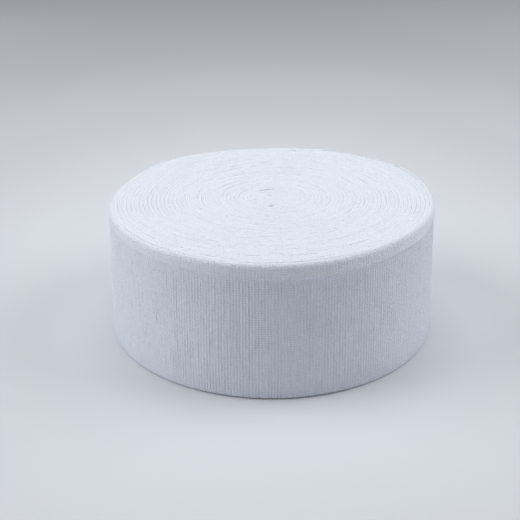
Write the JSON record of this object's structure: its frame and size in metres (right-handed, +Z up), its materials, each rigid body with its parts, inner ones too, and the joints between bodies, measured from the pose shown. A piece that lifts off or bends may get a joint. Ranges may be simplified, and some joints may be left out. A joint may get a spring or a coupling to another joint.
{
  "type": "tubular support bandage roll",
  "caption": "White knitted tubular bandage, laid flat and wound into a firm low roll with folded edges, a soft bead at the rim and a loose eye; lies on its end.",
  "frame": {"origin": "middle of the flat underside that the roll rests on", "axes": "+Z up along the winding axis; the cut outer end of the cloth is at the back, 68 degrees round from +X towards +Y"},
  "size_m": [0.1694, 0.1704, 0.0701],
  "materials": {
    "white_knit": "matt ribbed cotton knit, undyed bleached white with a cool cast, faint fuzz"
  },
  "bodies": {
    "root": {"bandage_roll": "white_knit"}
  },
  "joints": []
}
